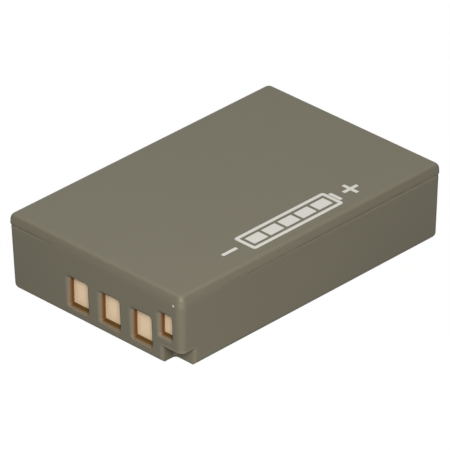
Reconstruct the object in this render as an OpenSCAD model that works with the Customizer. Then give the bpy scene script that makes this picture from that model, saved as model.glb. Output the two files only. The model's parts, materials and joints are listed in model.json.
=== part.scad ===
// Rechargeable camera battery: two flat cells in series in a welded two-shell case.
// X is the width, Y the length with the contact end at -Y, and Z the thickness.
// The origin is the centre of the base. All sizes are in millimetres.

/* [Case] */
// Length over the case at the parting line
case_l = 55; // [52:0.5:60]
// Width over the case at the parting line
case_w = 36; // [35.5:0.1:40]
// Thickness from the base to the lid face
case_h = 12.7; // [12.5:0.1:16]
// Height of the lid's skirt, from the parting line to the lid face
lid_h = 1.6; // [1.6:0.1:2.2]

/* [Walls] */
// Thickness of the tray's floor
floor_t = 0.75; // [0.6:0.05:1.2]
// Thickness of the lid's face
lid_t = 0.8; // [0.6:0.05:1.2]
// Thinnest part of the tray's long sides and closed end, at the base
wall_t = 0.8; // [0.6:0.05:1.2]
// Thinnest part of the wall at the contact end, at the base
end_wall_t = 0.95; // [0.8:0.05:1.5]
// How far each side of the tray leans in from the parting line to the base
tray_draft = 0.4; // [0.2:0.05:0.5]
// How far each side of the lid leans in from the parting line to its face
lid_draft = 0.06; // [0.02:0.02:0.1]
// Corner radius of the tray, seen from above, at the parting line
tray_corner_r = 1.35; // [1.2:0.05:1.8]
// Corner radius of the lid, seen from above, at the parting line
lid_corner_r = 1.1; // [1.05:0.05:1.5]
// Rounding of the edge around the base
base_edge_r = 0.9; // [0.4:0.05:0.9]
// Rounding of the edge around the lid face
lid_edge_r = 1; // [0.4:0.05:1]
// Corner radius of the cavity, seen from above
cavity_corner_r = 0.7; // [0.5:0.05:1]

/* [Parting line] */
// Height of the tongue that the lid sets into the tray
tongue_h = 0.7; // [0.5:0.05:0.9]
// Thickness of that tongue
tongue_t = 0.5; // [0.4:0.05:0.6]
// Clearance around the tongue before welding
weld_gap = 0.05; // [0.02:0.01:0.08]
// Deepest part of the open line under the lid's edge
line_depth = 0.18; // [0.05:0.01:0.2]
// Height of the shallow shoulder under that line
line_h = 0.6; // [0.3:0.05:0.8]
// Length of the open line on the contact face, before the weld closes it
line_end_run = 11; // [6:0.5:16]
// Where the line begins on the side beside the notch, from the contact end
line_side_start = 2.2; // [2:0.1:6]

/* [Windows] */
// Width of the three wide windows, inside their rounded edges
window_w = 3.65; // [3.4:0.05:4.2]
// Height of the wide windows
window_h = 4.65; // [4:0.05:5.2]
// Height of the wide windows' lower edge above the base
window_z = 2.05; // [1.8:0.05:2.6]
// Distance between the wide windows
window_pitch = 6.57; // [6.2:0.01:7]
// Distance of the last wide window's middle from the side beside the notch
window_inset = 8.54; // [8.2:0.01:9]
// Width of the narrow window
narrow_w = 2.25; // [1.8:0.05:2.4]
// Height of the narrow window
narrow_h = 3.65; // [3:0.05:3.9]
// Height of the narrow window's lower edge above the base
narrow_z = 4.8; // [4.6:0.05:5.3]
// Distance of the narrow window's middle from the side beside the notch
narrow_inset = 3.58; // [3.4:0.01:3.7]
// Rounding of the edge around each window, on the outside
window_edge_r = 0.78; // [0.3:0.01:0.8]
// Corner radius of each window, inside its rounded edge
window_corner_r = 0.25; // [0.2:0.05:0.6]

/* [Notch] */
// Keying notch in the lower corner: its size along the contact end
notch_w = 4.3; // [3.6:0.1:4.4]
// Its size along the side
notch_l = 3; // [2.4:0.1:3.2]
// Its height above the base
notch_h = 2.95; // [2.6:0.05:3.4]
// Radius inside its upright corner
notch_corner_r = 0.5; // [0.3:0.05:1]
// Rounding of its two upright edges
notch_edge_r = 0.7; // [0.3:0.05:0.8]
// Rounding of its edges at the base
notch_foot_r = 0.35; // [0.2:0.05:0.7]
// Rounding of the case's edge over it
notch_roof_r = 0.3; // [0.15:0.05:0.4]

/* [Cells] */
// Room above the upper cell's pad for the cells to swell
swell_gap = 0.2; // [0.1:0.05:0.5]
// Corner radius of the drawn cans
can_corner_r = 1.5; // [1:0.1:2]
// Thickness of the film sleeve around each cell
sleeve_t = 0.1; // [0.05:0.01:0.15]
// Clearance between a can and its sleeve
sleeve_fit = 0.03; // [0.01:0.01:0.05]
// Clearance between the sleeved cells and the case walls
cell_fit = 0.12; // [0.05:0.01:0.25]
// Bare length of can at the cap end, past the sleeve
sleeve_setback = 1.2; // [0.5:0.1:3]
// Diameter of the terminal's rivet head
rivet_d = 2.8; // [2.2:0.1:3.2]
// Thickness of the rivet head
rivet_t = 0.35; // [0.25:0.05:0.5]
// Diameter of the rivet's shank
shank_d = 1; // [0.8:0.1:1.2]
// Depth of the rivet's seat in the can
shank_depth = 0.7; // [0.5:0.1:1]
// Diameter of the sealing gasket
gasket_d = 3.6; // [3.3:0.1:4]
// Thickness of the gasket under the rivet head
gasket_t = 0.25; // [0.15:0.05:0.4]
// Wall of the gasket's neck around the shank
gasket_neck_t = 0.3; // [0.2:0.05:0.4]

/* [Pads and insulation] */
// Thickness of the adhesive pad under the lower cell
tray_pad_t = 0.2; // [0.1:0.05:0.4]
// Thickness of the adhesive pad on the upper cell
lid_pad_t = 0.25; // [0.1:0.05:0.4]
// Thickness of the double-sided tape between the cells
divider_t = 0.2; // [0.1:0.05:0.4]
// How far the pads and the tape stay inside the cells' edges
pad_margin = 4; // [2:0.5:6]
// Thickness of the foam at the closed end
foam_t = 0.8; // [0.5:0.1:1.2]
// Thickness of the insulating card over the cell caps
card_t = 0.2; // [0.1:0.05:0.3]
// Clearance of the card's holes around what passes through them
card_fit = 0.25; // [0.1:0.05:0.4]

/* [Board] */
// Thickness of the protection board
board_t = 0.8; // [0.6:0.1:1]
// Clearance around the board's edges
board_fit = 0.15; // [0.1:0.05:0.3]
// Thickness of the gold-plated contact blocks
contact_t = 0.3; // [0.2:0.05:0.5]
// How far each contact block reaches past its window, on every side
contact_lap = 0.4; // [0.2:0.05:0.5]
// Clearance between the contact blocks and the end wall
contact_fit = 0.05; // [0.02:0.01:0.1]
// Height of the tallest parts on the back of the board, and of the fuse
part_t = 1.1; // [0.9:0.05:1.4]
// Thickness of the nickel strips
strip_t = 0.15; // [0.1:0.01:0.2]
// Width of the nickel strips
strip_w = 2.4; // [1.8:0.1:2.6]
// Thickness of the ribs that hold the board from behind
rib_t = 1.1; // [0.8:0.1:1.3]
// How far those ribs stand in from the side walls
rib_w = 1.5; // [1:0.1:2]

/* [Hidden] */
$fn = 96;

// Length added to a cutter so that it passes clear of a face
past = 1;
// How far a rounded edge dips under the face that it rounds
edge_dip = 0.02;
// Least width left beside a rounded edge
least = 0.03;

// Case heights
seam_z = case_h - lid_h;
ceiling_z = case_h - lid_t;
tray_lean = atan(tray_draft / seam_z);
base_round = min(base_edge_r, tray_corner_r - tray_draft - least);
lid_round = min(lid_edge_r, lid_corner_r - lid_draft - least);

// Cavity, seen from above
in_x = case_w / 2 - tray_draft - wall_t;
in_front = -case_l / 2 + tray_draft + end_wall_t;
in_back = case_l / 2 - tray_draft - wall_t;

// Notch walls at the base
notch_x = case_w / 2 - notch_w;
notch_y = -case_l / 2 + notch_l;

// Stack along the length, from the contact end
contact_y = in_front + contact_fit;
board_y = contact_y + contact_t;
board_back_y = board_y + board_t;
strip_y = board_back_y + part_t;
rivet_y = strip_y + strip_t;
gasket_y = rivet_y + rivet_t;
cap_y = gasket_y + gasket_t;
foam_y = in_back - foam_t - cell_fit;
can_end_y = foam_y - sleeve_t;

// Stack through the thickness, from the base
sleeve_wall = sleeve_t + sleeve_fit;
stack_h = ceiling_z - swell_gap - lid_pad_t - floor_t - tray_pad_t;
can_t = (stack_h - divider_t - 4 * sleeve_wall) / 2;
can_w = 2 * (in_x - cell_fit - sleeve_wall);
can_l = can_end_y - cap_y;
lower_z = floor_t + tray_pad_t + sleeve_wall + can_t / 2;
upper_z = lower_z + can_t + 2 * sleeve_wall + divider_t;
divider_z = lower_z + can_t / 2 + sleeve_wall;
lid_pad_z = upper_z + can_t / 2 + sleeve_wall;

// Board outline
board_x = in_x - board_fit;
board_top = ceiling_z - board_fit;
board_cut_x = notch_x - wall_t - board_fit;
board_cut_z = notch_h + wall_t + board_fit;

// Windows and contacts: middle across the width, lower edge, width and height
window_x = case_w / 2 - window_inset;
negative_place = [window_x - 2 * window_pitch, window_z, window_w, window_h];
sense_place = [window_x - window_pitch, window_z, window_w, window_h];
positive_place = [window_x, window_z, window_w, window_h];
identity_place = [case_w / 2 - narrow_inset, narrow_z, narrow_w, narrow_h];

// Strips: where each one runs across the width, and the height of its feet
link_x = 4.6;
midpoint_x = 7.6;
positive_x = 11.2;
weld_foot_h = 1.6;
foot_h = 2;

// Parts on the back of the board: middles as [across, up] and sizes as [width, height]
fuse_size = [3.6, 3];
ic_at = [-4.6, upper_z];
ic_size = [2.9, 1.7];
ic_leads = 3;
fet_inset = 3.6;
fet_at = [rib_w - board_x + fet_inset, (lower_z + upper_z) / 2];
fet_size = [4.4, 3];
fet_leads = 4;
fuse_gap = 1.05;
fuse_x = fet_at.x + fet_size.x / 2 + fuse_gap + fuse_size.x / 2;
thermistor_at = [8.6, lower_z];
thermistor_size = [1.6, 0.9];
row_inset = 1.4;
row_drop = 1;
resistors_at = [rib_w - board_x + row_inset, lower_z - row_drop];
capacitors_at = [rib_w - board_x + row_inset, board_top - row_drop];
resistor_count = 4;
capacitor_count = 3;
small_size = [0.6, 1.1];
row_step = 1.3;
chip_t = part_t - 0.1;
small_t = 0.45;
lead_t = 0.2;
lead_l = 0.8;

// Details of the cells
neck_d = shank_d + 2 * gasket_neck_t;
seal_fit = 0.01;
can_end_r = 0.6;
port_d = 1.6;
port_inset = 4.15;
port_x = can_w / 2 - port_inset;
vent_d = 3.2;
score_t = 0.15;

// Edges of the soft parts
pad_corner_r = 1.5;
foam_margin = 1;
card_margin = 0.4;

// Ribs stop under the rebate for the lid's tongue
rib_top = seam_z - tongue_h - 2 * weld_gap;
// How far the stretches of the open line run into each other
line_lap = 0.05;

case_grey = [0.47, 0.45, 0.40];
gold = [0.84, 0.73, 0.60];
nickel = [0.72, 0.72, 0.70];
can_silver = [0.78, 0.79, 0.80];
board_green = [0.10, 0.33, 0.20];
chip_black = [0.09, 0.09, 0.10];
film_blue = [0.16, 0.32, 0.55];
card_tan = [0.70, 0.62, 0.46];
foam_dark = [0.20, 0.20, 0.21];
tape_white = [0.88, 0.88, 0.86];

// Half-section of a drafted wall, from its axis at x = 0 out to r, rounded into the far face
module drafted_side(r, h, draft, edge) {
    lean = atan(draft / h);
    round_z = h - edge;
    round_x = r - round_z * tan(lean) - edge / cos(lean);
    tangent = [round_x + edge * cos(lean), round_z + edge * sin(lean)];
    polygon([[0, 0], [r, 0], tangent, [round_x, round_z], [round_x, h], [0, h]]);
    intersection() {
        translate([round_x, round_z]) circle(edge);
        translate([round_x, round_z]) square(edge + past);
    }
}

// Whole section between two corner axes a and b
module drafted_section(a, b, r, h, draft, edge) {
    translate([b, 0]) drafted_side(r, h, draft, edge);
    translate([a, 0]) mirror([1, 0]) drafted_side(r, h, draft, edge);
    translate([a, 0]) square([b - a, h]);
}

// Block from low = [x, y] to high = [x, y] that tapers upwards, with round corners and edges
module drafted_block(low, high, r, h, draft, edge) {
    inner_low = low + [r, r];
    inner_high = high - [r, r];
    for (x = [inner_low.x, inner_high.x], y = [inner_low.y, inner_high.y])
        translate([x, y, 0]) rotate_extrude() drafted_side(r, h, draft, edge);
    translate([inner_low.x, 0, 0]) rotate([90, 0, 90])
        linear_extrude(inner_high.x - inner_low.x)
            drafted_section(inner_low.y, inner_high.y, r, h, draft, edge);
    translate([0, inner_high.y, 0]) rotate([90, 0, 0])
        linear_extrude(inner_high.y - inner_low.y)
            drafted_section(inner_low.x, inner_high.x, r, h, draft, edge);
}

// Rectangle with round corners, from low to high
module round_rect(low, high, r) {
    size = high - low;
    for (x = [low.x + r, high.x - r], y = [low.y + r, high.y - r])
        translate([x, y]) circle(r);
    translate([low.x + r, low.y]) square([size.x - 2 * r, size.y]);
    translate([low.x, low.y + r]) square([size.x, size.y - 2 * r]);
}

// Box between two corners
module box(low, high) {
    translate(low) cube(high - low);
}

// The cavity's outline, grown all round by grow
module cavity_outline(grow = 0) {
    round_rect([-in_x - grow, in_front - grow], [in_x + grow, in_back + grow],
        cavity_corner_r + grow);
}

// A tray-shaped block that hangs from the parting line down to low_z, where its edge is rounded,
// with its sides grown outwards by grow
module tray_block(low_z, edge, grow = 0) {
    outer = [case_w, case_l] / 2 + grow * [1, 1];
    h = seam_z - low_z;
    translate([0, 0, seam_z]) mirror([0, 0, 1])
        drafted_block(-outer, outer, tray_corner_r + grow, h, tray_draft * h / seam_z, edge);
}

// Profile of a flared cutter: its reach from its axis, against the depth from the face
module flared_side(r, depth, edge) {
    mouth = r + edge;
    translate([0, -past]) square([r, depth + past]);
    difference() {
        translate([0, -past]) square([mouth, edge + past - edge_dip]);
        translate([mouth, edge - edge_dip]) circle(edge);
    }
}

// What the notch takes away: a round corner between two walls, flared out at the base
module notch_room() {
    r = notch_corner_r;
    axis = [notch_x + r, notch_y - r];
    open = [case_w / 2 + past - axis.x, axis.y + case_l / 2 + past];
    h = notch_h + past;
    translate([axis.x, axis.y, 0]) rotate_extrude() flared_side(r, h, notch_foot_r);
    translate([axis.x, axis.y, 0]) rotate([90, 0, 0]) linear_extrude(open.y) {
        mirror([1, 0]) flared_side(r, h, notch_foot_r);
        translate([0, -past]) square([open.x, h + past]);
    }
    translate([axis.x, axis.y, 0]) rotate([90, 0, 90]) linear_extrude(open.x) {
        flared_side(r, h, notch_foot_r);
        translate([-open.y, -past]) square([open.y, h + past]);
    }
}

// Cutter that rounds an upright edge of the notch. The case lies towards -X and +Y of it
module notch_edge() {
    middle = notch_edge_r - edge_dip;
    linear_extrude(notch_h + 2 * past, center = true) difference() {
        translate([-middle, -past]) square([middle + past, middle + past]);
        translate([-middle, middle]) circle(notch_edge_r);
    }
}

// Outside of the tray, with the keying notch left out of its lower corner. The block that stays
// over the notch is a little larger than the tray, so that its round edge crosses the sides
module tray_outside() {
    face = [case_w, case_l] / 2 - tray_draft * (1 - notch_h / 2 / seam_z) * [1, 1];
    difference() {
        tray_block(0, base_round);
        difference() {
            union() {
                notch_room();
                translate([notch_x, -face.y, notch_h / 2]) rotate([tray_lean, 0, 0]) notch_edge();
                translate([face.x, notch_y, notch_h / 2]) rotate([0, tray_lean, 0]) notch_edge();
            }
            tray_block(notch_h, notch_roof_r, edge_dip);
        }
    }
}

// Everything hollow in the tray: the cavity, less the wall around the notch
module tray_hollow() {
    difference() {
        translate([0, 0, floor_t]) linear_extrude(seam_z - floor_t + past) cavity_outline();
        box([notch_x - wall_t, in_front - past, 0],
            [in_x + past, notch_y + wall_t, notch_h + wall_t]);
    }
    translate([0, 0, seam_z - tongue_h - weld_gap])
        linear_extrude(tongue_h + weld_gap + past) cavity_outline(tongue_t + weld_gap);
}

// Whole section of a window's cutter between two corner axes a and b
module window_section(a, b, r, depth) {
    translate([b, 0]) flared_side(r, depth, window_edge_r);
    translate([a, 0]) mirror([1, 0]) flared_side(r, depth, window_edge_r);
    translate([a, -past]) square([b - a, depth + past]);
}

// Cutter for one window, square to the leaning end wall, at place = [x, z, width, height]
module window_cut(place) {
    r = window_corner_r;
    depth = tray_draft + end_wall_t + past / 2;
    half = [place[2] / 2 - r, place[3] / 2 - r];
    middle_z = place[1] + place[3] / 2;
    face_y = -case_l / 2 + (seam_z - middle_z) * tan(tray_lean);
    translate([place[0], face_y, middle_z]) rotate([-90 + tray_lean, 0, 0]) {
        for (x = [-half.x, half.x], y = [-half.y, half.y])
            translate([x, y, 0]) rotate_extrude() flared_side(r, depth, window_edge_r);
        translate([-half.x, 0, 0]) rotate([90, 0, 90])
            linear_extrude(2 * half.x) window_section(-half.y, half.y, r, depth);
        translate([0, half.y, 0]) rotate([90, 0, 0])
            linear_extrude(2 * half.y) window_section(-half.x, half.x, r, depth);
    }
}

// Section of the open line under the lid's edge: a flat roof over a shallow shoulder
module line_section() {
    slope = line_h / line_depth;
    polygon([[-line_depth, 0], [past, 0], [past, -slope * (past + line_depth)]]);
}

// The open line along one side. Unturned it runs towards -Y on a face that looks to +X,
// and tilt swings it out of the face (above zero) or into it
module line_run(from, turn, run, tilt = 0) {
    translate([from.x, from.y, seam_z]) rotate([0, 0, turn + tilt]) rotate([90, 0, 0])
        translate([0, 0, -line_lap]) linear_extrude(run + 2 * line_lap) line_section();
}

// The open line around one corner, a quarter turn from start
module line_corner(x, y, start) {
    translate([x, y, seam_z]) rotate_extrude(angle = 90, start = start)
        translate([tray_corner_r, 0]) line_section();
}

// The open part of the parting line: all round, but closed at the corner over the notch
module parting_line() {
    corner = [case_w, case_l] / 2;
    axis = corner - [tray_corner_r, tray_corner_r];
    side_run = case_l - tray_corner_r - line_side_start;
    line_run([-axis.x + line_end_run, -corner.y - line_depth], -90, line_end_run,
        -atan(line_depth / line_end_run));
    line_corner(-axis.x, -axis.y, 180);
    line_run([-corner.x, -axis.y], 180, 2 * axis.y);
    line_corner(-axis.x, axis.y, 90);
    line_run([-axis.x, corner.y], 90, 2 * axis.x);
    line_corner(axis.x, axis.y, 0);
    line_run([corner.x, axis.y], 0, side_run, atan(line_depth / side_run));
}

// Ribs in the tray that hold the board from behind, one at each end, the second over the notch
module board_ribs() {
    y = board_back_y + contact_fit;
    box([-in_x - wall_t / 2, y, floor_t / 2], [rib_w - in_x, y + rib_t, rib_top]);
    box([in_x - rib_w, y, notch_h + wall_t / 2], [in_x + wall_t / 2, y + rib_t, rib_top]);
}

module case_tray() {
    color(case_grey) difference() {
        union() {
            difference() {
                tray_outside();
                tray_hollow();
            }
            board_ribs();
        }
        for (place = [negative_place, sense_place, positive_place, identity_place])
            window_cut(place);
        parting_line();
    }
}

module case_lid() {
    outer = [case_w, case_l] / 2;
    color(case_grey) difference() {
        union() {
            translate([0, 0, seam_z])
                drafted_block(-outer, outer, lid_corner_r, lid_h, lid_draft, lid_round);
            translate([0, 0, seam_z - tongue_h])
                linear_extrude(tongue_h + lid_t) cavity_outline(tongue_t);
        }
        translate([0, 0, seam_z - tongue_h - past])
            linear_extrude(ceiling_z - seam_z + tongue_h + past) cavity_outline();
    }
}

// A gold-plated block on the board, wider than its window all round
module contact(place) {
    color(gold)
        box([place[0] - place[2] / 2 - contact_lap, contact_y, place[1] - contact_lap],
            [place[0] + place[2] / 2 + contact_lap, board_y, place[1] + place[3] + contact_lap]);
}

module contact_negative() { contact(negative_place); }
module contact_sense() { contact(sense_place); }
module contact_positive() { contact(positive_place); }
module contact_identity() { contact(identity_place); }

module protection_board() {
    color(board_green) difference() {
        box([-board_x, board_y, floor_t], [board_x, board_back_y, board_top]);
        box([board_cut_x, board_y - past, 0], [board_x + past, board_back_y + past, board_cut_z]);
    }
}

// A part on the back of the board, by its middle across and up, size [width, height] and thickness
module board_part(middle, size, t) {
    box([middle.x - size.x / 2, board_back_y, middle.y - size.y / 2],
        [middle.x + size.x / 2, board_back_y + t, middle.y + size.y / 2]);
}

// A moulded chip with a row of leads above and below its body
module leaded_chip(middle, size, leads) {
    step = size.x / leads;
    color(chip_black) {
        board_part(middle, size, chip_t);
        for (k = [0 : leads - 1], side = [-1, 1])
            board_part(middle + [(k + 0.5) * step - size.x / 2, side * (size.y + lead_l) / 2],
                [step / 2, lead_l + lead_t], lead_t);
    }
}

module protection_ic() { leaded_chip(ic_at, ic_size, ic_leads); }
module fet_pair() { leaded_chip(fet_at, fet_size, fet_leads); }

module thermistor() {
    color("white") board_part(thermistor_at, thermistor_size, small_t);
}

// A row of count like parts across the board
module part_row(first, size, t, count) {
    for (k = [0 : count - 1])
        board_part(first + [k * row_step, 0], size, t);
}

module chip_resistors() {
    color(chip_black) part_row(resistors_at, small_size, small_t, resistor_count);
}

module chip_capacitors() {
    color(card_tan) part_row(capacitors_at, small_size, small_t, capacitor_count);
}

module thermal_fuse() {
    color("gold") board_part([fuse_x, lower_z], fuse_size, part_t);
}

// Turns a shape drawn along +Z so that it runs along +Y from the cell caps
module along_cell(z) {
    translate([0, cap_y, z]) rotate([-90, 0, 0]) children();
}

// A disc or ring on a cell's terminal axis, from y to y + t
module on_terminal(z, y, t, d, bore = 0) {
    translate([0, y, z]) rotate([-90, 0, 0]) difference() {
        cylinder(h = t, d = d);
        if (bore > 0) translate([0, 0, -past]) cylinder(h = t + 2 * past, d = bore);
    }
}

// A drawn can with its welded cap: a bore for the terminal, a filling port and a vent score
module cell(z) {
    half = [can_w, can_t] / 2;
    color(can_silver) along_cell(z) difference() {
        drafted_block(-half, half, can_corner_r, can_l, 0, can_end_r);
        translate([0, 0, -past]) cylinder(h = shank_depth + past, d = neck_d + 2 * seal_fit);
        translate([port_x, 0, -past]) cylinder(h = score_t + past, d = port_d);
        translate([-port_x, 0, -past]) difference() {
            cylinder(h = score_t + past, d = vent_d);
            cylinder(h = score_t + past, d = vent_d - 2 * score_t);
        }
    }
}

module gasket(z) {
    color("dimgray") {
        on_terminal(z, gasket_y, gasket_t, gasket_d, shank_d + 2 * seal_fit);
        on_terminal(z, cap_y - gasket_t / 2, gasket_t / 2 + shank_depth - seal_fit, neck_d,
            shank_d + 2 * seal_fit);
    }
}

module terminal(z) {
    color(nickel) {
        on_terminal(z, rivet_y, rivet_t, rivet_d);
        on_terminal(z, rivet_y + rivet_t / 2, rivet_t / 2 + gasket_t + shank_depth - seal_fit,
            shank_d);
    }
}

// A film cup drawn over a can from its closed end
module sleeve(z) {
    half = [can_w, can_t] / 2;
    inner = half + [sleeve_fit, sleeve_fit];
    outer = half + [sleeve_wall, sleeve_wall];
    color(film_blue) along_cell(z) difference() {
        translate([0, 0, sleeve_setback]) linear_extrude(can_l + sleeve_t - sleeve_setback)
            round_rect(-outer, outer, can_corner_r + sleeve_wall);
        linear_extrude(can_l) round_rect(-inner, inner, can_corner_r + sleeve_fit);
    }
}

module lower_cell() { cell(lower_z); }
module lower_cell_gasket() { gasket(lower_z); }
module lower_cell_terminal() { terminal(lower_z); }
module lower_cell_sleeve() { sleeve(lower_z); }
module upper_cell() { cell(upper_z); }
module upper_cell_gasket() { gasket(upper_z); }
module upper_cell_terminal() { terminal(upper_z); }
module upper_cell_sleeve() { sleeve(upper_z); }

// A flat pad over the face of the cells, t thick from height z
module cell_pad(z, t) {
    half_w = can_w / 2 - pad_margin;
    translate([0, 0, z]) linear_extrude(t)
        round_rect([-half_w, cap_y + pad_margin], [half_w, can_end_y - pad_margin], pad_corner_r);
}

module cell_divider() { color(tape_white) cell_pad(divider_z, divider_t); }
module tray_pad() { color(foam_dark) cell_pad(floor_t, tray_pad_t); }
module lid_pad() { color(foam_dark) cell_pad(lid_pad_z, lid_pad_t); }

module end_foam() {
    color(foam_dark)
        box([foam_margin - in_x, foam_y, floor_t + foam_margin],
            [in_x - foam_margin, foam_y + foam_t, ceiling_z - foam_margin]);
}

// Card over both caps, with holes for the terminals and the two weld feet
module cap_insulator() {
    edge_x = can_w / 2 - card_margin;
    low_z = lower_z - can_t / 2 + card_margin;
    high_z = upper_z + can_t / 2 - card_margin;
    foot = [strip_w, weld_foot_h] / 2 + [card_fit, card_fit];
    color(card_tan) difference() {
        box([-edge_x, cap_y - card_t, low_z], [edge_x, cap_y, high_z]);
        for (z = [lower_z, upper_z])
            on_terminal(z, cap_y - card_t - past, card_t + 2 * past, gasket_d + 2 * card_fit);
        for (at = [[link_x, lower_z], [positive_x, upper_z]])
            box([at.x - foot.x, cap_y - card_t - past, at.y - foot.y],
                [at.x + foot.x, cap_y + past, at.y + foot.y]);
    }
}

// Negative strip: from the lower cell's terminal to the thermal fuse
module strip_negative() {
    color(nickel)
        box([fuse_x - fuse_size.x / 2 + strip_t, strip_y, lower_z - strip_w / 2],
            [rivet_d / 2 + strip_t, rivet_y, lower_z + strip_w / 2]);
}

// Weld foot on a cell cap, and the shelf that carries it out from the face at y
module weld_foot(x, z, y) {
    half_w = strip_w / 2;
    top = z + weld_foot_h / 2;
    box([x - half_w, cap_y - strip_t, z - weld_foot_h / 2], [x + half_w, cap_y, top]);
    box([x - half_w, y, top - strip_t], [x + half_w, cap_y, top]);
}

// Series strip: from the upper cell's terminal down to the lower cell's can
module strip_series() {
    right = link_x + strip_w / 2;
    color(nickel) {
        box([-rivet_d / 2 - strip_t, strip_y, upper_z - strip_w / 2],
            [right, rivet_y, upper_z + strip_w / 2]);
        box([right - strip_w, strip_y, lower_z + weld_foot_h / 2 - strip_t],
            [right, rivet_y, upper_z]);
        weld_foot(link_x, lower_z, strip_y);
    }
}

// Midpoint strip: from the series strip forward to the board
module strip_midpoint() {
    half_h = foot_h / 2;
    color(nickel) {
        box([link_x, strip_y - strip_t, upper_z - half_h],
            [midpoint_x, strip_y, upper_z + half_h]);
        box([midpoint_x - strip_t, board_back_y, upper_z - half_h],
            [midpoint_x, strip_y, upper_z + half_h]);
        box([midpoint_x - strip_t, board_back_y, upper_z - half_h],
            [midpoint_x + foot_h - strip_t, board_back_y + strip_t, upper_z + half_h]);
    }
}

// Positive strip: from the upper cell's can to the board
module strip_positive() {
    half_w = strip_w / 2;
    top = upper_z + weld_foot_h / 2;
    color(nickel) {
        weld_foot(positive_x, upper_z, board_back_y);
        box([positive_x - half_w, board_back_y, top - foot_h],
            [positive_x + half_w, board_back_y + strip_t, top]);
    }
}

case_tray();
case_lid();
contact_negative();
contact_sense();
contact_positive();
contact_identity();
protection_board();
protection_ic();
fet_pair();
thermistor();
chip_resistors();
chip_capacitors();
thermal_fuse();
lower_cell();
lower_cell_gasket();
lower_cell_terminal();
lower_cell_sleeve();
upper_cell();
upper_cell_gasket();
upper_cell_terminal();
upper_cell_sleeve();
cell_divider();
tray_pad();
lid_pad();
end_foam();
cap_insulator();
strip_negative();
strip_series();
strip_midpoint();
strip_positive();
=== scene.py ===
"""Looks of a slim two-cell camera battery: moulded case, gold contacts, print and studio."""

import json
import math

import bpy
import numpy as np
from mathutils import Matrix, Vector


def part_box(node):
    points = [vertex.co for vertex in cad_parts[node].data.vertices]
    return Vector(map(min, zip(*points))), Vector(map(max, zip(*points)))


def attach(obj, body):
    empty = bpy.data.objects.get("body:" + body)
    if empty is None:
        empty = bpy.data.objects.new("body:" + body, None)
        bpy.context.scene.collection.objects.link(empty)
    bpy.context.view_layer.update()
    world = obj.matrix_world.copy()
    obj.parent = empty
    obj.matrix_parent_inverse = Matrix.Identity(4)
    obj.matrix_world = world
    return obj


MM = 0.001

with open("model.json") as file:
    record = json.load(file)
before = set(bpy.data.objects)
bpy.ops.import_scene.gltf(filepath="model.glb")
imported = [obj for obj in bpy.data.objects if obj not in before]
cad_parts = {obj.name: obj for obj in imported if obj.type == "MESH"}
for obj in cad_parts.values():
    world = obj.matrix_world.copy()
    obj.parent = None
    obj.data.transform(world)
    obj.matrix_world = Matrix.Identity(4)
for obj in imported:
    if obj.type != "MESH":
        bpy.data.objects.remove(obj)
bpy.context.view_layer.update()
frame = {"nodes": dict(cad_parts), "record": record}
scene = bpy.context.scene

tray_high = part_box("case_tray")[1]
lid_low, lid_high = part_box("case_lid")
contact_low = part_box("contact_positive")[0]

SEAM_Z = tray_high.z
TOP_Z = lid_high.z
END_Y = lid_low.y
PLATE_Y = contact_low.y


def srgb(red, green, blue):
    """Linear colour of an 8-bit sRGB one: v/12.92 in the toe, else ((v + 0.055) / 1.055)^2.4."""
    value = np.array([red, green, blue]) / 255
    linear = np.where(value <= 0.04045, value / 12.92, ((value + 0.055) / 1.055) ** 2.4)
    return (*(float(c) for c in linear), 1.0)


def link(tree, source, target):
    """Joins two sockets of a node tree."""
    tree.links.new(source, target)


def new_material(name):
    """A material with only a Principled shader: returns its tree and that shader."""
    material = bpy.data.materials.new(name)
    material.use_nodes = True
    tree = material.node_tree
    shader = next(n for n in tree.nodes if n.type == "BSDF_PRINCIPLED")
    return material, tree, shader


def new_group(name, inputs, outputs):
    """An empty shader group: inputs as (name, kind, default) and outputs as (name, kind)."""
    group = bpy.data.node_groups.new(name, "ShaderNodeTree")
    for socket, kind, default in inputs:
        made = group.interface.new_socket(name=socket, in_out="INPUT", socket_type=kind)
        made.default_value = default
    for socket, kind in outputs:
        group.interface.new_socket(name=socket, in_out="OUTPUT", socket_type=kind)
    return group, group.nodes.new("NodeGroupInput"), group.nodes.new("NodeGroupOutput")


def object_point(tree):
    """The object coordinate of the shaded point: metres in the part's own frame."""
    return tree.nodes.new("ShaderNodeTexCoord").outputs["Object"]


def noise(tree, point, per_mm, detail=2.0):
    """Fractal noise with about per_mm features to the millimetre."""
    node = tree.nodes.new("ShaderNodeTexNoise")
    node.inputs["Scale"].default_value = per_mm / MM
    node.inputs["Detail"].default_value = detail
    link(tree, point, node.inputs["Vector"])
    return node.outputs["Fac"]


def between(tree, value, low, high, to_low=0.0, to_high=1.0):
    """Value carried linearly from low..high to to_low..to_high and clamped."""
    node = tree.nodes.new("ShaderNodeMapRange")
    limits = {"From Min": low, "From Max": high, "To Min": to_low, "To Max": to_high}
    for socket, number in limits.items():
        node.inputs[socket].default_value = number
    link(tree, value, node.inputs["Value"])
    return node.outputs["Result"]


def math_node(tree, operation, first, second):
    """One maths step on two sockets or numbers."""
    node = tree.nodes.new("ShaderNodeMath")
    node.operation = operation
    for slot, value in enumerate((first, second)):
        if isinstance(value, (int, float)):
            node.inputs[slot].default_value = value
        else:
            link(tree, value, node.inputs[slot])
    return node.outputs[0]


def blend_colours(tree, mask, first, second):
    """First where the mask is 0 and second where it is 1; either may be a socket or a colour."""
    node = tree.nodes.new("ShaderNodeMix")
    node.data_type = "RGBA"
    given = (("Factor", "VALUE", mask), ("A", "RGBA", first), ("B", "RGBA", second))
    for name, kind, value in given:
        target = next(s for s in node.inputs if s.name == name and s.type == kind)
        if isinstance(value, (tuple, float, int)):
            target.default_value = value
        else:
            link(tree, value, target)
    return next(s for s in node.outputs if s.type == "RGBA")


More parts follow.
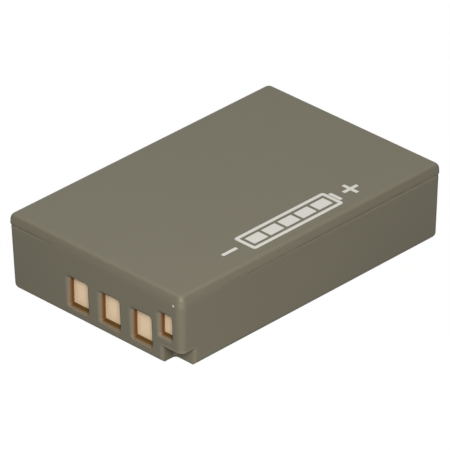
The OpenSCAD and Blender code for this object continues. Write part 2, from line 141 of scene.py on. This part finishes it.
def scaled(tree, vector, factor):
    """A vector or colour socket times a number socket."""
    node = tree.nodes.new("ShaderNodeVectorMath")
    node.operation = "SCALE"
    link(tree, vector, node.inputs[0])
    link(tree, factor, node.inputs["Scale"])
    return node.outputs[0]


# The grain: share of the fine noise in the mottle, scale of the broad one, the spread of roughness,
# and the height that the normal is made from
FINE_SHARE = 0.6
BROAD_PER_MM = 0.12
ROUGH_SPREAD = 0.05
GRAIN_HEIGHT = 0.01 * MM


def moulded_grain():
    """Group: the spark-eroded grain of a mould, as a colour, a roughness and a normal.

    Two noises are mixed: a fine one for the grain, and a broad one for the flow of the melt.
    Color = Tone * (1 + Mottle * (mix - 0.5)), Roughness = Gloss + ROUGH_SPREAD * fine, and the
    normal comes from the fine noise as a height."""
    group, given, made = new_group(
        "moulded_grain",
        [
            ("Tone", "NodeSocketColor", (0.2, 0.2, 0.2, 1.0)),
            ("Grain per mm", "NodeSocketFloat", 9.0),
            ("Mottle", "NodeSocketFloat", 0.08),
            ("Gloss", "NodeSocketFloat", 0.5),
            ("Depth", "NodeSocketFloat", 0.3),
        ],
        [
            ("Color", "NodeSocketColor"),
            ("Roughness", "NodeSocketFloat"),
            ("Normal", "NodeSocketVector"),
        ],
    )
    point = object_point(group)
    fine = noise(group, scaled(group, point, given.outputs["Grain per mm"]), 1.0, detail=3.0)
    broad = noise(group, point, BROAD_PER_MM, detail=1.0)
    share = math_node(group, "MULTIPLY", fine, FINE_SHARE)
    mix = math_node(group, "ADD", share, math_node(group, "MULTIPLY", broad, 1 - FINE_SHARE))
    centred = math_node(group, "SUBTRACT", mix, 0.5)
    mottle = math_node(group, "MULTIPLY", centred, given.outputs["Mottle"])
    factor = math_node(group, "ADD", mottle, 1.0)
    link(group, scaled(group, given.outputs["Tone"], factor), made.inputs["Color"])
    spread = math_node(group, "MULTIPLY", fine, ROUGH_SPREAD)
    rough = math_node(group, "ADD", given.outputs["Gloss"], spread)
    link(group, rough, made.inputs["Roughness"])
    bump = group.nodes.new("ShaderNodeBump")
    bump.inputs["Distance"].default_value = GRAIN_HEIGHT
    link(group, given.outputs["Depth"], bump.inputs["Strength"])
    link(group, fine, bump.inputs["Height"])
    link(group, bump.outputs["Normal"], made.inputs["Normal"])
    return group


GRAIN = moulded_grain()


def grained(tree, shader, tone, per_mm, mottle, gloss, depth):
    """Places the grain group on a shader, and returns its colour output."""
    node = tree.nodes.new("ShaderNodeGroup")
    node.node_tree = GRAIN
    node.inputs["Tone"].default_value = tone
    node.inputs["Grain per mm"].default_value = per_mm
    node.inputs["Mottle"].default_value = mottle
    node.inputs["Gloss"].default_value = gloss
    node.inputs["Depth"].default_value = depth
    link(tree, node.outputs["Color"], shader.inputs["Base Color"])
    link(tree, node.outputs["Roughness"], shader.inputs["Roughness"])
    link(tree, node.outputs["Normal"], shader.inputs["Normal"])
    return node.outputs["Color"]


CONTACTS = ("contact_negative", "contact_sense", "contact_positive", "contact_identity")
CASE_TONE = srgb(109, 105, 91)
CASE_SPECULAR = 0.12
# Painted light in the windows' wells: a warm painted highlight on the rim, a painted halo of shade
# round the sill, painted shade with painted gold reflection on the walls, and dark painted shade on
# the sill
RIM_HIGHLIGHT_TONE = srgb(120, 107, 92)
SILL_HALO_SHADE_TONE = srgb(106, 91, 64)
WELL_SHADE_AND_REFLECTION_TONE = srgb(95, 61, 26)
SILL_SHADE_TONE = srgb(78, 56, 26)
# Layers of painted light in a window: how deep each begins from the contact end, how softly, how
# far it spreads past the contact's block, up to how far above the block's lower edge (None: all of
# it), and its
# tone. From the outside: a warm painted highlight on the rim, a brown painted halo of shade round
# the sill, painted shade tinted by painted gold reflection on the wall, and the dark painted shade
# of the sill.
WELL_LIGHT_LAYERS = (
    (0.36, 0.1, 0.25, None, RIM_HIGHLIGHT_TONE),
    (0.5, 0.12, 0.1, 0.4, SILL_HALO_SHADE_TONE),
    (0.7, 0.22, 0.0, None, WELL_SHADE_AND_REFLECTION_TONE),
    (0.7, 0.12, 0.0, 0.5, SILL_SHADE_TONE),
)
# Painted shade on the inside of the keying notch, behind its rounded edges
NOTCH_SHADE_LOW = Vector((13.3, -26.75, -1)) * MM
NOTCH_SHADE_HIGH = Vector((17.25, -24.85, 3.2)) * MM
NOTCH_SHADE_FADE = 0.25 * MM
NOTCH_SHADE_TONE = srgb(94, 90, 74)
# The gold plates: tones of the rolling streaks, how many to the millimetre, the scale that draws
# them out upward, and the band of their noise that the tones and the roughness are spread over
GOLD_TONE = srgb(226, 203, 171)
STREAK_TONE = srgb(221, 197, 165)
STREAKS_PER_MM = 3.0
STREAK_STRETCH = 0.08
STREAK_BAND = (0.3, 0.7)
STREAK_ROUGH = (0.45, 0.55)
GOLD_METALLIC = 0.25
# Two marks that contact pins left on a plate, how wide they are, and how much they darken it
PIN_MARKS = (Vector((9.53, -26.1, 4.66)) * MM, Vector((9.5, -26.1, 3.44)) * MM)
PIN_REACH = 0.16 * MM
PIN_SHADE = 0.3
INK_TONE = srgb(199, 198, 192)
MELT_TONE = srgb(150, 145, 131)


def box_mask(tree, point, low, high, soft):
    """1 inside a box and 0 outside, over a soft edge: the product of six clamped ramps."""
    parts = tree.nodes.new("ShaderNodeSeparateXYZ")
    link(tree, point, parts.inputs[0])
    mask = None
    for axis in range(3):
        for edge, sign in ((low[axis], 1), (high[axis], -1)):
            ramp = between(tree, parts.outputs[axis], edge - sign * soft, edge + sign * soft)
            mask = ramp if mask is None else math_node(tree, "MULTIPLY", mask, ramp)
    return mask


# Tone changes by height, in mm: (from, to, change). Around the lid's face the rounding gets painted
# shade below and a painted highlight above, and the open parting line gets a hair of painted shade
# under the lid's edge.
EDGE_SHADE_AND_HIGHLIGHT_STEPS = ((-0.85, -0.55, -0.14), (-0.36, -0.1, 0.2), (-0.03, -0.005, -0.06))
SEAM_STEPS = ((0.0, 0.05, -0.3), (0.15, 0.21, 0.3))
# The painted seam shade sets in between the first two places along the long sides, and between the
# other two
# across the contact face. It is patchy: noise to the millimetre, the noise's band, and its amount.
SEAM_FROM_Y = (-20.0, -14.0)
SEAM_TO_X = (-8.0, -9.5)
PATCHES_PER_MM = 0.7
PATCH_BAND = (0.38, 0.56)
PATCH_AMOUNT = (0.35, 1.15)
# Painted highlights on the near corner: (place, reach, gain), in mm, from the lid downward
CORNER_HIGHLIGHTS = (
    ((17.5, -26.95, 12.2), 0.55, 0.36),
    ((17.62, -27.1, 11.2), 0.75, 0.3),
)
# A painted highlight along the case's edge over the notch
LIP_HIGHLIGHT_LOW = Vector((13.2, -28, 3.06)) * MM
LIP_HIGHLIGHT_HIGH = Vector((18.5, -24.3, 3.46)) * MM
LIP_HIGHLIGHT_FADE = 0.12 * MM
LIP_HIGHLIGHT_GAIN = 0.17


def away_from(tree, point, place):
    """Distance of the shaded point from a place."""
    node = tree.nodes.new("ShaderNodeVectorMath")
    node.operation = "DISTANCE"
    link(tree, point, node.inputs[0])
    node.inputs[1].default_value = place
    return node.outputs["Value"]


def height_steps(tree, height, zero, steps):
    """Sum of tone steps: change * clamp((height - zero - from) / (to - from), 0, 1)."""
    total = 0.0
    for low, high, change in steps:
        step = between(tree, height, zero + low * MM, zero + high * MM, 0.0, change)
        total = math_node(tree, "ADD", step, total)
    return total


def outside_tone(tree, point):
    """Factor on the case's tone: painted shade and highlight on the lid's edge, painted shade along
    part of the parting line, and painted highlights over the notch and on the near corner.
    """
    parts = tree.nodes.new("ShaderNodeSeparateXYZ")
    link(tree, point, parts.inputs[0])
    along = between(tree, parts.outputs["Y"], *(y * MM for y in SEAM_FROM_Y))
    across = between(tree, parts.outputs["X"], *(x * MM for x in SEAM_TO_X))
    patchy = between(tree, noise(tree, point, PATCHES_PER_MM), *PATCH_BAND, *PATCH_AMOUNT)
    open_part = math_node(tree, "MULTIPLY", math_node(tree, "MAXIMUM", along, across), patchy)
    # A hair of painted shade just above the parting line, in patches
    seam_shade = height_steps(tree, parts.outputs["Z"], SEAM_Z, SEAM_STEPS)
    # Painted shade low on the lid's edge rounding and a painted highlight above it
    edge_shade_and_highlight = height_steps(tree, parts.outputs["Z"], TOP_Z, EDGE_SHADE_AND_HIGHLIGHT_STEPS)
    factor = math_node(tree, "ADD", math_node(tree, "MULTIPLY", seam_shade, open_part), edge_shade_and_highlight)
    # A painted highlight along the edge over the notch's roof
    lip_highlight = box_mask(tree, point, LIP_HIGHLIGHT_LOW, LIP_HIGHLIGHT_HIGH, LIP_HIGHLIGHT_FADE)
    factor = math_node(tree, "ADD", factor, math_node(tree, "MULTIPLY", lip_highlight, LIP_HIGHLIGHT_GAIN))
    # Painted highlights on the near corner
    for place, reach, gain in CORNER_HIGHLIGHTS:
        away = away_from(tree, point, Vector(place) * MM)
        factor = math_node(tree, "ADD", factor, between(tree, away, 0, reach * MM, gain, 0))
    return math_node(tree, "ADD", factor, 1.0)


def case_plastic():
    """Warm grey moulded plastic; the walls of the windows' wells get painted amber-brown shade
    tinted by painted gold reflection, with a painted highlight on their rims.
    """
    material, tree, shader = new_material("case_plastic")
    colour = grained(tree, shader, CASE_TONE, per_mm=7.0, mottle=0.10, gloss=0.48, depth=0.35)
    point = object_point(tree)
    colour = scaled(tree, colour, outside_tone(tree, point))
    # Painted shade inside the keying notch
    notch = box_mask(tree, point, NOTCH_SHADE_LOW, NOTCH_SHADE_HIGH, NOTCH_SHADE_FADE)
    colour = blend_colours(tree, notch, colour, NOTCH_SHADE_TONE)
    # Painted light in each window's well: painted highlight on the rim, painted shade round and on
    # the sill, painted shade with painted gold reflection on the walls
    for name in CONTACTS:
        for depth, fade, spread, sill, tone in WELL_LIGHT_LAYERS:
            low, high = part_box(name)
            low -= Vector((spread, 0, spread)) * MM
            high += Vector((spread, 0, spread)) * MM
            low.y, high.y = END_Y + depth * MM, PLATE_Y
            if sill is not None:
                high.z = low.z + (spread + sill) * MM
            mask = box_mask(tree, point, low, high, fade * MM)
            colour = blend_colours(tree, mask, colour, tone)
    link(tree, colour, shader.inputs["Base Color"])
    shader.inputs["Specular IOR Level"].default_value = CASE_SPECULAR
    return material


def plated_gold():
    """Satin gold plating with faint vertical rolling streaks."""
    material, tree, shader = new_material("plated_gold")
    point = object_point(tree)
    stretched = tree.nodes.new("ShaderNodeMapping")
    stretched.inputs["Scale"].default_value = (1.0, 1.0, STREAK_STRETCH)
    link(tree, point, stretched.inputs["Vector"])
    streaks = noise(tree, stretched.outputs["Vector"], STREAKS_PER_MM, detail=3.0)
    tone = blend_colours(tree, between(tree, streaks, *STREAK_BAND), GOLD_TONE, STREAK_TONE)
    worn = tuple(c * (1 - PIN_SHADE) for c in GOLD_TONE[:3]) + (1.0,)
    for mark in PIN_MARKS:
        away = away_from(tree, point, mark)
        tone = blend_colours(tree, between(tree, away, 0, PIN_REACH, 1, 0), tone, worn)
    link(tree, tone, shader.inputs["Base Color"])
    shader.inputs["Metallic"].default_value = GOLD_METALLIC
    rough = between(tree, streaks, *STREAK_BAND, *STREAK_ROUGH)
    link(tree, rough, shader.inputs["Roughness"])
    return material


def plain_finish(name, tone, gloss, metallic=0.0, per_mm=6.0, mottle=0.12, depth=0.2):
    """A grained finish for a part that is hidden inside the case."""
    material, tree, shader = new_material(name)
    grained(tree, shader, tone, per_mm, mottle, gloss, depth)
    shader.inputs["Metallic"].default_value = metallic
    return material


def melted_plastic():
    """The case's plastic where it melted: paler and glossier than the moulded skin."""
    material, tree, shader = new_material("melted_plastic")
    grained(tree, shader, MELT_TONE, per_mm=12.0, mottle=0.05, gloss=0.3, depth=0.05)
    return material


def print_ink():
    """Pale pad-printed ink, slightly thin in places."""
    material, tree, shader = new_material("print_ink")
    grained(tree, shader, INK_TONE, per_mm=12.0, mottle=0.05, gloss=0.55, depth=0.15)
    return material


CASE = case_plastic()
GOLD = plated_gold()
INK = print_ink()
MELT = melted_plastic()
FINISHES = {
    "case": CASE,
    "contact_gold": GOLD,
    "board": plain_finish("solder_mask", srgb(38, 92, 62), 0.35),
    "chip": plain_finish("chip_epoxy", srgb(38, 38, 40), 0.45),
    "ceramic": plain_finish("fired_ceramic", srgb(176, 158, 120), 0.6),
    "fuse": plain_finish("tinned_brass", srgb(196, 178, 128), 0.35, metallic=1.0),
    "can": plain_finish("drawn_can", srgb(200, 202, 204), 0.32, metallic=1.0),
    "nickel": plain_finish("rolled_nickel", srgb(188, 188, 182), 0.3, metallic=1.0),
    "gasket": plain_finish("seal_rubber", srgb(92, 92, 94), 0.7),
    "film": plain_finish("sleeve_film", srgb(46, 84, 140), 0.25),
    "tape": plain_finish("tissue_tape", srgb(222, 222, 216), 0.8),
    "foam": plain_finish("cell_foam", srgb(54, 54, 56), 0.95, per_mm=3.0, mottle=0.4, depth=0.8),
    "card": plain_finish("fish_card", srgb(176, 158, 120), 0.85),
}


# Points nearer than this are merged, and edges that turn by more than this many degrees stay crisp
MERGE_WITHIN = 0.0005 * MM
SHARP_FROM = 16


def smooth_faces():
    """Geometry group: merges doubled points, then shades smooth but for edges over an angle."""
    group = bpy.data.node_groups.new("smooth_faces", "GeometryNodeTree")
    group.interface.new_socket(name="Mesh", in_out="INPUT", socket_type="NodeSocketGeometry")
    group.interface.new_socket(name="Mesh", in_out="OUTPUT", socket_type="NodeSocketGeometry")
    nodes = group.nodes
    given, made = nodes.new("NodeGroupInput"), nodes.new("NodeGroupOutput")
    merge = nodes.new("GeometryNodeMergeByDistance")
    merge.inputs["Distance"].default_value = MERGE_WITHIN
    angle = nodes.new("GeometryNodeInputMeshEdgeAngle")
    soft = nodes.new("FunctionNodeCompare")
    soft.operation = "LESS_THAN"
    soft.inputs["B"].default_value = math.radians(SHARP_FROM)
    faces = nodes.new("GeometryNodeSetShadeSmooth")
    edges = nodes.new("GeometryNodeSetShadeSmooth")
    edges.domain = "EDGE"
    link(group, given.outputs[0], merge.inputs["Geometry"])
    link(group, merge.outputs[0], faces.inputs["Geometry"])
    link(group, angle.outputs["Unsigned Angle"], soft.inputs["A"])
    link(group, faces.outputs[0], edges.inputs["Geometry"])
    link(group, soft.outputs[0], edges.inputs["Shade Smooth"])
    link(group, edges.outputs[0], made.inputs[0])
    return group


SMOOTH = smooth_faces()


def dress_nodes():
    """Gives each CAD node its slot's finish, and merged, smooth-shaded faces with crisp edges."""
    slot_of = {s["node"]: s["material_slot"] for s in frame["record"]["subparts"]}
    for name, node in frame["nodes"].items():
        node.data.materials.clear()
        node.data.materials.append(FINISHES[slot_of[name]])
        finish = node.modifiers.new("smooth", "NODES")
        finish.node_group = SMOOTH


def mesh_piece(name, points, faces, material):
    """A mesh object at the origin from an array of points and a list of faces."""
    mesh = bpy.data.meshes.new(name)
    mesh.from_pydata(points.tolist(), [], faces)
    mesh.materials.append(material)
    mesh.update()
    piece = bpy.data.objects.new(name, mesh)
    scene.collection.objects.link(piece)
    return piece


def round_outline(low, high, radius, steps=8):
    """Points round a rectangle with round corners: corner centre + radius * (cos t, sin t)."""
    centres = [(high[0], high[1]), (low[0], high[1]), (low[0], low[1]), (high[0], low[1])]
    signs = [(-1, -1), (1, -1), (1, 1), (-1, 1)]
    rows = []
    for quarter, (centre, sign) in enumerate(zip(centres, signs)):
        turn = (np.linspace(0, 1, steps) + quarter) * math.pi / 2
        middle = np.array(centre) + radius * np.array(sign)
        rows.append(middle + radius * np.stack([np.cos(turn), np.sin(turn)], 1))
    return np.concatenate(rows)


def plate_faces(count, offset):
    """Faces of a closed plate between a lower and an upper ring of count points."""
    ring = np.arange(count)
    ahead = (ring + 1) % count
    sides = np.stack([ring, ahead, ahead + count, ring + count], 1) + offset
    top = [int(k) for k in ring + count + offset]
    bottom = [int(k) for k in ring[::-1] + offset]
    return [*sides.tolist(), top, bottom]


def ring_faces(count, offset):
    """Faces of a closed ring from four loops: outer low, outer high, inner high, inner low."""
    ring = np.arange(count)
    ahead = (ring + 1) % count
    faces = []
    for first, second in ((0, 1), (1, 2), (2, 3), (3, 0)):
        a, b = offset + first * count, offset + second * count
        faces += np.stack([ring + a, ahead + a, ahead + b, ring + b], 1).tolist()
    return faces


# The print: a cell outline with charge bars between a minus and a plus, along the length
PRINT_LOW = Vector((11.3, -14.5)) * MM
PRINT_HIGH = Vector((15.7, 13.9)) * MM
INK_LIFT = 0.012 * MM
INK_SINK = 0.02 * MM
STROKE = 0.62 * MM
SIGN_LENGTH = 3.0 * MM
SIGN_GAP = 1.5 * MM
BAR_COUNT = 5
BAR_GAP = 0.55 * MM
CORNER = 0.5 * MM
PLATE_CORNER = STROKE / 4
CAP_WIDTH = 4 * STROKE
CAP_GAP = BAR_GAP / 4


def charge_mark():
    """Flat closed shapes of ink a little proud of the lid: plates, and a ring for the outline."""
    points, faces = [], []
    low_z, high_z = TOP_Z - INK_SINK, TOP_Z + INK_LIFT

    def rings(outline, *heights):
        for height in heights:
            points.append(np.column_stack([outline, np.full(len(outline), height)]))

    def offset():
        return sum(len(p) for p in points)

    def plate(outline):
        start = offset()
        rings(outline, low_z, high_z)
        faces.extend(plate_faces(len(outline), start))

    def bar(low, high):
        plate(round_outline(low, high, PLATE_CORNER))

    middle_x = (PRINT_LOW.x + PRINT_HIGH.x) / 2
    half = STROKE / 2
    cell_low = PRINT_LOW.y + SIGN_LENGTH + SIGN_GAP
    cell_high = PRINT_HIGH.y - SIGN_LENGTH - SIGN_GAP - STROKE
    outer = round_outline((PRINT_LOW.x, cell_low), (PRINT_HIGH.x, cell_high), CORNER)
    room_low = (PRINT_LOW.x + STROKE, cell_low + STROKE)
    room_high = (PRINT_HIGH.x - STROKE, cell_high - STROKE)
    inner = round_outline(room_low, room_high, CORNER - half)
    start = offset()
    rings(outer, low_z, high_z)
    rings(inner, high_z, low_z)
    faces.extend(ring_faces(len(outer), start))
    cap = cell_high + CAP_GAP
    bar((middle_x - CAP_WIDTH / 2, cap), (middle_x + CAP_WIDTH / 2, cap + STROKE))
    step = (room_high[1] - room_low[1] - BAR_GAP) / BAR_COUNT
    for k in range(BAR_COUNT):
        near = (room_low[0] + BAR_GAP, room_low[1] + BAR_GAP + k * step)
        bar(near, (room_high[0] - BAR_GAP, near[1] + step - BAR_GAP))
    minus_y = PRINT_LOW.y + SIGN_LENGTH / 2
    minus_high = (middle_x + half, minus_y + SIGN_LENGTH / 2)
    bar((middle_x - half, minus_y - SIGN_LENGTH / 2), minus_high)
    plus_y = PRINT_HIGH.y - SIGN_LENGTH / 2
    plate(cross_outline((middle_x, plus_y), SIGN_LENGTH / 2, half))
    mark = mesh_piece("charge_mark", np.concatenate(points), faces, INK)
    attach(mark, "root")


def cross_outline(centre, reach, half):
    """The twelve corners of a plus sign: its arms reach out from the centre, twice half wide."""
    arm = np.array([(reach, -half), (reach, half), (half, half)])
    quarter = np.array([[0, -1], [1, 0]])
    turned = [arm @ np.linalg.matrix_power(quarter, k).T for k in range(4)]
    return np.array(centre) + np.concatenate(turned)


# Where the weld left a pip at the parting line, its size, and the grid of its surface
PIP_AT = Vector((16.4, -27.5, 10.95)) * MM
PIP_REACH = (0.25 * MM, 0.18 * MM, 0.19 * MM)
PIP_ROWS = 12
PIP_COLUMNS = 20


def weld_pip():
    """A squeezed bead of plastic: an ellipsoid on a grid of latitude and longitude."""
    up = np.linspace(-math.pi / 2, math.pi / 2, PIP_ROWS)
    around = np.linspace(0, 2 * math.pi, PIP_COLUMNS, endpoint=False)
    lat, lon = np.meshgrid(up, around, indexing="ij")
    unit = np.stack([np.cos(lat) * np.cos(lon), np.cos(lat) * np.sin(lon), np.sin(lat)], -1)
    points = np.array(PIP_AT) + unit.reshape(-1, 3) * np.array(PIP_REACH)
    faces = []
    for row in range(PIP_ROWS - 1):
        here = np.arange(PIP_COLUMNS) + row * PIP_COLUMNS
        ahead = np.roll(here, -1)
        faces += np.stack([here, ahead, ahead + PIP_COLUMNS, here + PIP_COLUMNS], 1).tolist()
    pip = mesh_piece("weld_pip", points, faces, MELT)
    pip.data.shade_smooth()
    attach(pip, "root")


# Camera: fitted to the photograph's perspective, in degrees, metres and pixels
AZIMUTH = 44.86
ELEVATION = 30.13
ROLL = -0.579
DISTANCE = 954.0 * MM
FOCAL_PX = 6446.3
FRAME_PX = 450
SENSOR_MM = 36.0
# How far right of and above the middle of the frame the object's middle lies, in pixels
OFF_RIGHT_PX = 1.447
OFF_UP_PX = 0.24
CLIP = (0.01, 10)


def direction(azimuth, elevation):
    """Unit vector toward an azimuth, counted from the contact end, and an elevation, in degrees."""
    a, e = math.radians(azimuth), math.radians(elevation)
    return Vector((math.sin(a) * math.cos(e), -math.cos(a) * math.cos(e), math.sin(e)))


def set_camera():
    """A long lens at the photograph's angle, aimed so that the object lands where it does there."""
    azimuth = math.radians(AZIMUTH)
    back = direction(AZIMUTH, ELEVATION)
    right = Vector((math.cos(azimuth), math.sin(azimuth), 0))
    up = back.cross(right)
    turn = Matrix((right, up, back)).transposed() @ Matrix.Rotation(math.radians(ROLL), 3, "Z")
    per_px = DISTANCE / FOCAL_PX
    centre = Vector((0, 0, TOP_Z / 2))
    aim = centre - turn.col[0] * OFF_RIGHT_PX * per_px - turn.col[1] * OFF_UP_PX * per_px
    data = bpy.data.cameras.new("camera")
    data.sensor_width = SENSOR_MM
    data.lens = FOCAL_PX / FRAME_PX * SENSOR_MM
    data.clip_start, data.clip_end = CLIP
    camera = bpy.data.objects.new("camera", data)
    camera.matrix_world = Matrix.Translation(aim + back * DISTANCE) @ turn.to_4x4()
    scene.collection.objects.link(camera)
    scene.camera = camera


def seen_directly(tree):
    """1 where the camera, gloss or glass looks, and 0 where a surface gathers light."""
    path = tree.nodes.new("ShaderNodeLightPath")
    glossy, through = path.outputs["Is Glossy Ray"], path.outputs["Is Transmission Ray"]
    indirect = math_node(tree, "MAXIMUM", glossy, through)
    return math_node(tree, "MAXIMUM", path.outputs["Is Camera Ray"], indirect)


# The floor returns little light to the object, but the camera and gloss see it white. The sky's
# share as a light is small too.
FLOOR_TONE = 0.06
FLOOR_ROUGH = 0.9
FLOOR_GLOW = 0.95
FLOOR_REACH = 2.0
SKY_LIGHT = 0.03
# The floor lies this far under the base, so that the two faces never coincide
FLOOR_GAP = 0.02 * MM


def studio_floor():
    """A white floor: plain white to the camera and to gloss, with the object's shadow kept."""
    material, tree, shader = new_material("studio_floor")
    shader.inputs["Base Color"].default_value = (FLOOR_TONE, FLOOR_TONE, FLOOR_TONE, 1)
    shader.inputs["Roughness"].default_value = FLOOR_ROUGH
    shader.inputs["Specular IOR Level"].default_value = 0.0
    output = next(n for n in tree.nodes if n.type == "OUTPUT_MATERIAL")
    glow = tree.nodes.new("ShaderNodeEmission")
    glow.inputs["Color"].default_value = (1, 1, 1, 1)
    glow.inputs["Strength"].default_value = FLOOR_GLOW
    shown = tree.nodes.new("ShaderNodeAddShader")
    link(tree, shader.outputs[0], shown.inputs[0])
    link(tree, glow.outputs[0], shown.inputs[1])
    mixed = tree.nodes.new("ShaderNodeMixShader")
    link(tree, seen_directly(tree), mixed.inputs["Fac"])
    link(tree, shader.outputs[0], mixed.inputs[1])
    link(tree, shown.outputs[0], mixed.inputs[2])
    link(tree, mixed.outputs[0], output.inputs["Surface"])
    corners = FLOOR_REACH * np.array([[-1, -1], [1, -1], [1, 1], [-1, 1]])
    corners = np.column_stack([corners, np.full(4, -FLOOR_GAP)])
    mesh = bpy.data.meshes.new("studio_floor")
    mesh.from_pydata(corners.tolist(), [], [(0, 1, 2, 3)])
    mesh.materials.append(material)
    floor = bpy.data.objects.new("studio_floor", mesh)
    scene.collection.objects.link(floor)


# Lamps: azimuth, elevation, distance, size, level, colour, and whether gloss shows it
LAMPS = {
    "key": (45.6, 34, 0.45, 0.18, 1.42, (1.0, 0.98, 0.94), True),
    "fill": (226, 34, 0.8, 0.5, 0.62, (0.95, 0.98, 1.0), False),
}


def area_light(name, azimuth, elevation, distance, size, level, tone, glossy):
    """A square soft lamp that faces the object from an azimuth and an elevation in degrees.

    A face square to it at the origin renders at level times its own colour: the lamp's power is
    level * (pi * distance)^2."""
    data = bpy.data.lights.new(name, "AREA")
    data.shape = "SQUARE"
    data.size = size
    data.energy = level * (math.pi * distance) ** 2
    data.color = tone
    lamp = bpy.data.objects.new(name, data)
    lamp.visible_glossy = glossy
    back = direction(azimuth, elevation)
    lamp.location = back * distance
    lamp.rotation_mode = "QUATERNION"
    lamp.rotation_quaternion = (-back).to_track_quat("-Z", "Y")
    scene.collection.objects.link(lamp)


def studio_world():
    """Even white surroundings: white to the camera and to gloss, dim as a light."""
    world = bpy.data.worlds.new("studio")
    scene.world = world
    world.use_nodes = True
    tree = world.node_tree
    background = next(n for n in tree.nodes if n.type == "BACKGROUND")
    background.inputs["Color"].default_value = (1, 1, 1, 1)
    strength = between(tree, seen_directly(tree), 0, 1, SKY_LIGHT, 1)
    link(tree, strength, background.inputs["Strength"])


dress_nodes()
charge_mark()
weld_pip()
studio_floor()
studio_world()
for name, values in LAMPS.items():
    area_light(name, *values)
set_camera()

scene.view_settings.view_transform = "Standard"
